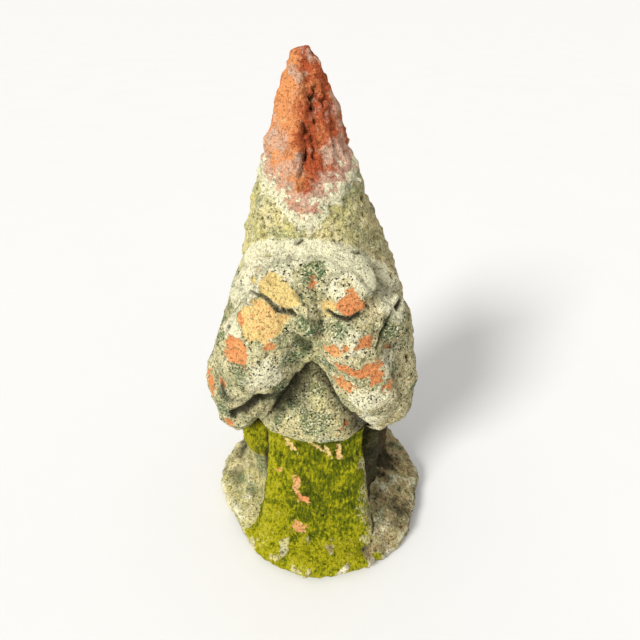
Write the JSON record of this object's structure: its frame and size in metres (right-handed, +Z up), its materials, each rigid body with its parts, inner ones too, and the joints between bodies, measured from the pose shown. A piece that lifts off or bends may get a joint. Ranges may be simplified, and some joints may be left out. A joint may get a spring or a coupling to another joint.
{
  "type": "garden gnome",
  "caption": "Weathered hollow terracotta garden gnome with a pointed hat, hands lifted over its eyes and wide hanging sleeves, standing on a round rock mound.",
  "frame": {"origin": "centre of the mound's underside, on the floor", "axes": "+Z up towards the hat tip, the gnome faces -Y and its own left hand is on the +X side"},
  "size_m": [0.152, 0.152, 0.298],
  "materials": {
    "bare_terracotta": "unglazed clay, crumbling, matt",
    "lichened_terracotta": "unglazed clay under a dry grey-green lichen crust, rough and matt",
    "patchy_terracotta": "lichen crust flaked off in patches down to orange clay, rough and matt",
    "mossy_terracotta": "unglazed clay under soft green moss, matt",
    "weathered_mound": "unglazed clay under brown and green algae, rough and matt"
  },
  "bodies": {
    "root": {"legs": "mossy_terracotta", "base_mound": "weathered_mound", "head": "lichened_terracotta", "tunic": "lichened_terracotta", "hat": "bare_terracotta", "right_side_hair": "lichened_terracotta", "left_side_hair": "lichened_terracotta", "nape_hair": "lichened_terracotta", "left_ear": "lichened_terracotta", "nose": "lichened_terracotta", "right_upper_sleeve": "lichened_terracotta", "left_upper_sleeve": "lichened_terracotta", "right_forearm_sleeve": "patchy_terracotta", "left_forearm_sleeve": "patchy_terracotta", "right_hand": "patchy_terracotta", "left_hand": "patchy_terracotta"}
  },
  "joints": []
}
